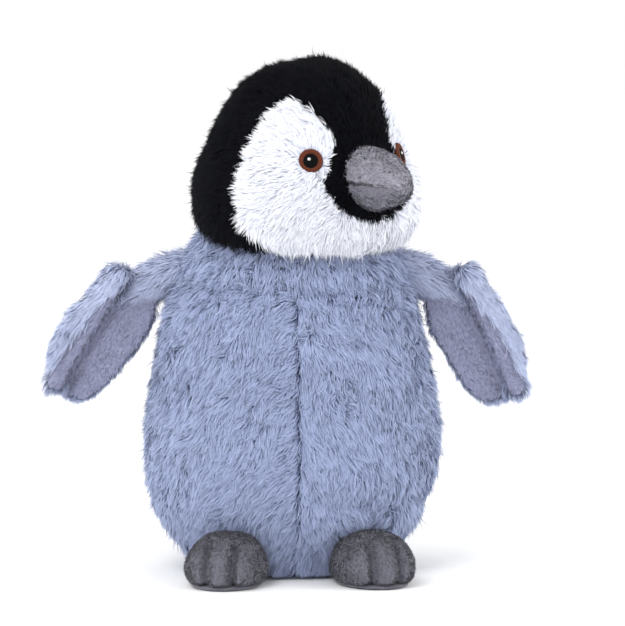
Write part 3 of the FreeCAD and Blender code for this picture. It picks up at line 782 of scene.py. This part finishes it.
beak_plush = plush_backing("grey_beak_plush", "#A9A8B6")
# The lower half's nap is the same grey plush painted darker: painted shade under the upper half.
beak_nap = {"upper": fur("grey_beak_nap", "#83828F", "#BEBDC9", ghost=0.3, low=0.8, high=1.12),
            "lower": fur("shaded_beak_nap", "#72717E", "#A09FAC", ghost=0.2, low=0.8, high=1.1)}
BEAK_DENSITY = 4.5
for half, rise in (("upper", BEAK_TOP), ("lower", -BEAK_DROP)):
    cover = beak_half(f"beak_{half}_cover", half, rise)
    inside = ["beak_fill"] if half == "upper" else []
    attach(cover, beak_plush, "head", [f"beak_{half}"] + inside)
    roots, normals = roots_on(cover, BEAK_DENSITY, 24)
    comb = turned(np.tile((0.0, -1.0, -0.2), (len(roots), 1)), HEAD_TURN)
    comb = comb + 0.5 * sway(roots, 12 * MM, (64, 65, 66))
    pile = grow_pile(f"beak_{half}_nap", roots, normals, comb, 2.6 * MM, 0.4 * MM, 0.48, 84, BEAK_DENSITY,
                     tuft=2.4, cling=0.3)
    attach(pile, beak_nap[half], "head", [])


# ---------------------------------------------------------------- eyes
# Machine embroidery in rayon thread: a ring of radial satin stitches, a black pupil of upright ones over
# its inner edge, and a white glint. Each is slightly domed by the padding stitches under it.
def embroidery(name, eye, radius_in, radius_out, dome, lift, threads, radial, middle=(0.0, 0.0)):
    """A disc or ring domed by a half sine from edge to edge, with a ridge for each thread.
    Ridges run outwards (radial) or straight up; the rim turns down into the cloth."""
    centre, outward, across, up = eye
    angle = np.linspace(0, 2 * np.pi, 240, endpoint=False)[None]
    share = np.linspace(0, 1, 15)[:, None]
    radius = radius_in + (radius_out - radius_in) * share
    radius = radius * (1 + 0.035 * share * np.sin(threads * angle) * np.cos(7 * angle))
    a, b = radius * np.cos(angle), radius * np.sin(angle)
    phase = threads * angle / 2 if radial else a / (2 * radius_out) * threads * np.pi
    ridge = 0.34 * MM * np.abs(np.sin(phase + 0 * a))
    bow = np.sin(np.pi * share) if radius_in else np.cos(np.pi / 2 * share)
    top = lift + dome * bow + ridge * (1 - share ** 8)
    low = np.full_like(a, lift - 1.6 * MM)
    rings = [np.stack([a + middle[0], b + middle[1], top], -1),
             np.stack([a[-1:] + middle[0], b[-1:] + middle[1], low[-1:]], -1)]
    if radius_in:
        rings.insert(0, np.stack([a[:1] + middle[0], b[:1] + middle[1], low[:1]], -1))
    rings = np.concatenate(rings)
    floor = rings[[-1]].mean(1, keepdims=True) + 0 * rings[[-1]]
    start = floor if radius_in else rings[[0]].mean(1, keepdims=True) + 0 * rings[[0]]
    rings = np.concatenate([start, rings, floor])
    placed = centre + rings[..., :1] * across + rings[..., 1:2] * up + rings[..., 2:] * outward
    return closed_form(name, placed)


brown_thread = thread("brown_rayon_thread", "#6A3420", 0.3, 0.15)
black_thread = thread("black_rayon_thread", "#08080A", 0.3, 0.05)
white_thread = thread("white_rayon_thread", "#F6F6F4", 0.3)
RING_RADIUS, RING_HOLE, PUPIL_RADIUS, GLINT_RADIUS = 6.9 * MM, 3.9 * MM, 4.3 * MM, 0.95 * MM
for side, eye in EYES.items():
    ring = embroidery(f"eye_{side}_satin_ring", eye, RING_HOLE, RING_RADIUS, 0.7 * MM, 0.2 * MM, 48, True)
    attach(ring, brown_thread, "head", [f"eye_{side}_ring"])
    pupil = embroidery(f"eye_{side}_satin_pupil", eye, 0, PUPIL_RADIUS, 0.7 * MM, 0.5 * MM, 11, False)
    attach(pupil, black_thread, "head", [f"eye_{side}_pupil"])
    spot = points_of(frame["nodes"][f"eye_{side}_glint"])[0].mean(0) - eye[0]
    glint = embroidery(f"eye_{side}_satin_glint", eye, 0, GLINT_RADIUS, 0.3 * MM, 1.2 * MM, 4, False,
                       (spot @ eye[2], spot @ eye[3]))
    attach(glint, white_thread, "head", [f"eye_{side}_glint"])


# ---------------------------------------------------------------- shoulders and flippers
# Each flipper is a flat stuffed paddle: long grey fur outside, which wraps round the rim, and a smooth
# lavender-grey plush lining inside, creased lengthways. Its gathered root is sewn to the shoulder.
def paddle_frame(side):
    """Middle, length, breadth and facing directions of a flipper, with half its size along each, from
    the shape of its two panels: along points to the tip, across to the upper edge, facing to the front."""
    verts, _ = points_of(frame["nodes"][f"flipper_{side}_outer"])
    other, _ = points_of(frame["nodes"][f"flipper_{side}_lining"])
    verts = np.vstack([verts, other])
    axes = np.linalg.svd((verts - verts.mean(0))[:, [0, 2]], full_matrices=False)[2]
    along = np.array([axes[0][0], 0, axes[0][1]])
    along = along * -np.sign(along[2])
    across = np.array([-along[2], 0, along[0]])
    across = across * np.sign(across[2])
    facing = np.array([0.0, -1.0, 0.0])
    middle = np.array([(verts @ axis).max() + (verts @ axis).min() for axis in (along, across, facing)]) / 2
    size = np.array([np.ptp(verts @ axis) for axis in (along, across, facing)]) / 2
    return middle[0] * along + middle[1] * across + middle[2] * facing, along, across, facing, size


def paddle_to_world(local, paddle):
    middle, along, across, facing, _ = paddle
    return middle + local[..., :1] * along + local[..., 1:2] * across + local[..., 2:] * facing


def paddle_share(points, paddle):
    """Shares along, across and towards the front, each -1 to 1 over the paddle."""
    middle, along, across, facing, size = paddle
    axes = zip((along, across, facing), size)
    return np.stack([(points - middle) @ axis / half for axis, half in axes], -1)


def make_paddle(name, paddle):
    """Rings along the length: breadth follows a blunt superellipse, thickness a flat lens. Both long
    edges curl forwards, the upper one more; the tip curls forwards and hangs down a little."""
    size = paddle[4] - (7.5 * MM, 4 * MM, 0)
    share = -np.cos(np.linspace(0, np.pi, 64))[:, None]
    breadth = np.maximum(1 - np.abs(share) ** 2.6, 0) ** (1 / 2.2) * (1 + 0.06 * share)
    angle = np.linspace(0, 2 * np.pi, 96, endpoint=False)[None]
    t = np.cos(angle)
    thick = 3.6 * MM * np.sign(np.sin(angle)) * np.abs(np.sin(angle)) ** 0.8 * np.sqrt(np.maximum(breadth, 0))
    curl = 8.0 * MM * np.maximum(t, 0) ** 2 + 4.5 * MM * np.maximum(-t, 0) ** 2
    forward = thick + curl * breadth + 4 * MM * np.maximum(share, 0) ** 2 - 3 * MM
    hang = -6 * MM * np.maximum(share, 0) ** 2 - 2 * MM
    local = np.stack([size[0] * share + 0 * t, size[1] * breadth * t + hang, forward], -1)
    made = closed_form(name, paddle_to_world(local, paddle))
    corners, normals = points_of(made)
    s, t, _ = paddle_share(corners, paddle).T
    facing = normals @ paddle[3] > 0.2
    crease = t + 0.02 + 0.3 * s
    press(made, facing * (furrow(crease, 2.6 * MM, 0.12) - furrow(crease - 0.3, 6.5 * MM, 0.2)
                          + furrow(t + 0.45 - 0.2 * s, 1.2 * MM, 0.14))
          + 0.8 * MM * lumps(corners, 26 * MM, 17))
    return made


def make_sleeve(name, side, sign):
    """A spindle round the gathered root, from the body to the flipper, tilted down towards the flipper."""
    half_length, half_depth, half_height = 27 * MM, 7 * MM, 8 * MM
    hinge = np.array(joints[f"flipper_{side}_lift"]["pos_m"])
    root = np.array(joints[f"shoulder_{side}_swing"]["pos_m"])
    reach = np.linspace(0, np.pi, 30)[:, None]
    turn = np.linspace(0, 2 * np.pi, 48, endpoint=False)[None]
    form = np.stack([-half_length * np.cos(reach) + 0 * turn, half_depth * np.sin(reach) * np.cos(turn),
                     half_height * np.sin(reach) * np.sin(turn)], -1)
    tilt = math.radians(26) * sign
    c, n = math.cos(tilt), math.sin(tilt)
    form = form @ np.array([(c, 0, -n), (0, 1, 0), (n, 0, c)])
    return closed_form(name, form + (hinge * 0.3 + root * 0.7) * (1, 1, 0)
                       + (0, 7 * MM, hinge[2] + 2 * MM))


FLIPPER_DENSITY, SLEEVE_DENSITY = 3.4, 3.0
SMOOTH = {"tuft": 3.6, "cling": 0.3, "wild": 0.3, "stray": 0.01}        # well-brushed pile
lining_plush = plush_backing("lavender_lining_plush", "#9295B3")
lining_nap = fur("lavender_lining_nap", "#8689A8", "#AEB1CC", ghost=0.3, low=0.88, high=1.08)
# Painted light: the flipper and shoulder fur is the body's blue-grey fur made lighter at root and tip, for
# the light from above on their upper faces.
painted_light_fur = fur("blue_grey_fur_with_painted_light", "#8F9BBF", "#D3DBF3")
for side, sign in (("left", 1), ("right", -1)):
    paddle = paddle_frame(side)
    cover = make_paddle(f"flipper_{side}_cover", paddle)
    attach(cover, lining_plush, f"flipper_{side}", [f"flipper_{side}_fill"])
    roots, normals = roots_on(cover, FLIPPER_DENSITY, 25)
    s, t, _ = paddle_share(roots, paddle).T
    edge = lumps(roots, 12 * MM, 18) * 0.04
    inside = (normals @ paddle[3] > 0.25) & (t < 0.36 + edge - 0.25 * np.maximum(s, 0) ** 3)
    comb = paddle[1] * 1.0 + paddle[2] * (0.45 * t[:, None]) + np.array([0, 0, -0.35])
    comb = comb + 0.2 * sway(roots, 28 * MM, (67, 68, 69))
    length = 9 * MM - 4 * MM * np.clip(-t, 0, 1) ** 2
    pile = grow_pile(f"flipper_{side}_pile", roots[~inside], normals[~inside], comb[~inside],
                     length[~inside], 0.5 * MM, 0.42, 91, FLIPPER_DENSITY, **SMOOTH)
    attach(pile, painted_light_fur, f"flipper_{side}", [f"flipper_{side}_outer"])
    pile = grow_pile(f"flipper_{side}_nap", roots[inside], normals[inside], comb[inside], 2.4 * MM,
                     0.5 * MM, 0.45, 92, FLIPPER_DENSITY, tuft=2.2, cling=0.3)
    attach(pile, lining_nap, f"flipper_{side}", [f"flipper_{side}_lining"])

    sleeve = make_sleeve(f"shoulder_{side}_gather", side, sign)
    attach(sleeve, grey_backing, f"shoulder_{side}", [f"shoulder_seam_{side}"])
    roots, normals = roots_on(sleeve, SLEEVE_DENSITY, 26)
    comb = np.tile((sign * 1.0, 0.0, -0.6), (len(roots), 1))
    comb = comb + 0.2 * sway(roots, 28 * MM, (67, 68, 69))
    pile = grow_pile(f"shoulder_{side}_pile", roots, normals, comb, 10 * MM, 0.5 * MM, 0.45, 93,
                     SLEEVE_DENSITY, **SMOOTH)
    attach(pile, painted_light_fur, f"shoulder_{side}", [])


# ---------------------------------------------------------------- feet
# Two stuffed feet of dark grey plush with a 2.4 mm nap, each drawn in by two rows of stitches into three
# round toes. The flat sole is a second piece of the same plush, sewn round its edge.
FOOT_HALF_WIDTH, FOOT_HALF_LENGTH = 24 * MM, 31 * MM
TOE_GROOVE = 7.6 * MM                # each groove's distance from the middle of the foot
SOLE_INSET = 5 * MM                  # the sole's edge, inside the widest line of the foot


def foot_frame(side):
    """Middle of a foot on the floor, its half sizes and its height, and how far it is turned out."""
    low, high = np.array(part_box(f"foot_{side}_sole")[0]), np.array(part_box(f"foot_{side}_sole")[1])
    top_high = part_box(f"foot_{side}_top")[1].z
    axis = joints[f"foot_{side}_flap"]["axis"]
    size = (FOOT_HALF_WIDTH, FOOT_HALF_LENGTH, top_high)
    return (low + high) / 2 * (1, 1, 0), size, math.atan2(-axis[1], -axis[0])


def make_foot(name, size, place, splay):
    """Rings round an upright axis: a dome with its widest ring low down. Two furrows run over the front
    and over the top, fading towards the heel, and part it into three toes; each toe swells forwards."""
    half_width, half_length, height = size[0] - NAP_ROOM, size[1] - NAP_ROOM, size[2] - 3 * MM
    rise = np.linspace(0, np.pi, 54)[:, None]
    angle = np.linspace(0, 2 * np.pi, 160, endpoint=False)[None]
    ring = np.where(rise < np.pi / 2, np.sin(rise) ** 0.45, np.sin(rise) ** 0.75)
    x = half_width * ring * np.sign(np.sin(angle)) * np.abs(np.sin(angle)) ** 0.9
    y = -half_length * ring * np.cos(angle)
    z = 2 * MM + height * (0.5 - 0.5 * np.cos(rise)) ** 1.7 + 0 * angle
    front = np.clip(-y / half_length, 0, 1)
    groove = furrow(np.abs(x) - TOE_GROOVE, 5.5 * MM, 2.8 * MM) * np.clip(front * 2.2, 0, 1)
    pull = 1 - groove / (half_length * 0.9)
    x, y = x * (1 - groove / half_width * 0.15), y * pull
    z = np.where(z > 0.35 * height, z - groove * 0.75 * np.clip(z / height, 0, 1), z)
    local = turned(np.stack([x, y, z], -1).reshape(-1, 3), splay).reshape(x.shape + (3,)) + place
    local[0], local[-1] = local[0].mean(0), local[-1].mean(0)
    made = closed_form(name, local)
    corners, _ = points_of(made)
    press(made, 0.5 * MM * lumps(corners, 18 * MM, 19) * (corners[:, 2] > 5 * MM))
    return made


FOOT_DENSITY = 5.0
foot_plush = plush_backing("dark_grey_foot_plush", "#6C6C78")
foot_nap = fur("dark_grey_foot_nap", "#62626D", "#8F8F9C", ghost=0.25, low=0.88, high=1.1)
for side in ("left", "right"):
    place, size, splay = foot_frame(side)
    cover = make_foot(f"foot_{side}_cover", size, place, splay)
    attach(cover, foot_plush, f"foot_{side}", [f"foot_{side}_fill"])
    roots, normals = roots_on(cover, FOOT_DENSITY, 27)
    shown = roots[:, 2] > 2.4 * MM
    comb = turned(np.tile((0.0, -1.0, -0.5), (len(roots), 1)), splay)
    comb = comb + 0.3 * sway(roots, 14 * MM, (67, 68, 69))
    pile = grow_pile(f"foot_{side}_nap", roots[shown], normals[shown], comb[shown], 2.4 * MM, 0.4 * MM, 0.5,
                     94, FOOT_DENSITY, tuft=1.6, cling=0.15)
    attach(pile, foot_nap, f"foot_{side}", [f"foot_{side}_top"])

    turn = np.linspace(0, 2 * np.pi, 96, endpoint=False)[None]
    share = np.array([0, 0.9, 1, 1.02, 1, 0.9, 0])[:, None]
    level = np.array([0.3, 0.3, 0.5, 1.2, 2.0, 2.4, 2.4])[:, None] * MM
    sole_rings = np.stack([(size[0] - SOLE_INSET) * share * np.sin(turn),
                           -(size[1] - SOLE_INSET) * share * np.cos(turn), level + 0 * turn], -1)
    sole_rings = turned(sole_rings.reshape(-1, 3), splay).reshape(sole_rings.shape) + place
    sole = closed_form(f"foot_{side}_sole_plush", sole_rings)
    attach(sole, foot_plush, f"foot_{side}", [f"foot_{side}_sole"])

    upper = turned(points_of(cover)[0] - place, -splay)
    upper = upper[upper[:, 2] > size[2] * 0.3]
    forward = -(size[1] - NAP_ROOM) * np.linspace(0.30, 0.86, 7)
    rows = []
    for groove in (-TOE_GROOVE, TOE_GROOVE):
        wanted = np.stack([groove + 0 * forward, forward], -1)
        rows.append(upper[nearest(wanted, upper[:, :2])])
    start = np.concatenate([row[:-1] for row in rows])
    end = np.concatenate([row[1:] for row in rows])
    out = np.tile((0.0, -0.4, 0.9), (len(start), 1))
    made = stitches(f"foot_{side}_toe_rows", turned(start, splay) + place + (0, 0, 0.6 * MM),
                    turned(start + (end - start) * 0.8, splay) + place + (0, 0, 0.6 * MM),
                    turned(unit(out), splay), 0.5 * MM, THREAD_RADIUS)
    attach(made, grey_thread, f"foot_{side}", [f"foot_{side}_toe_stitches"])
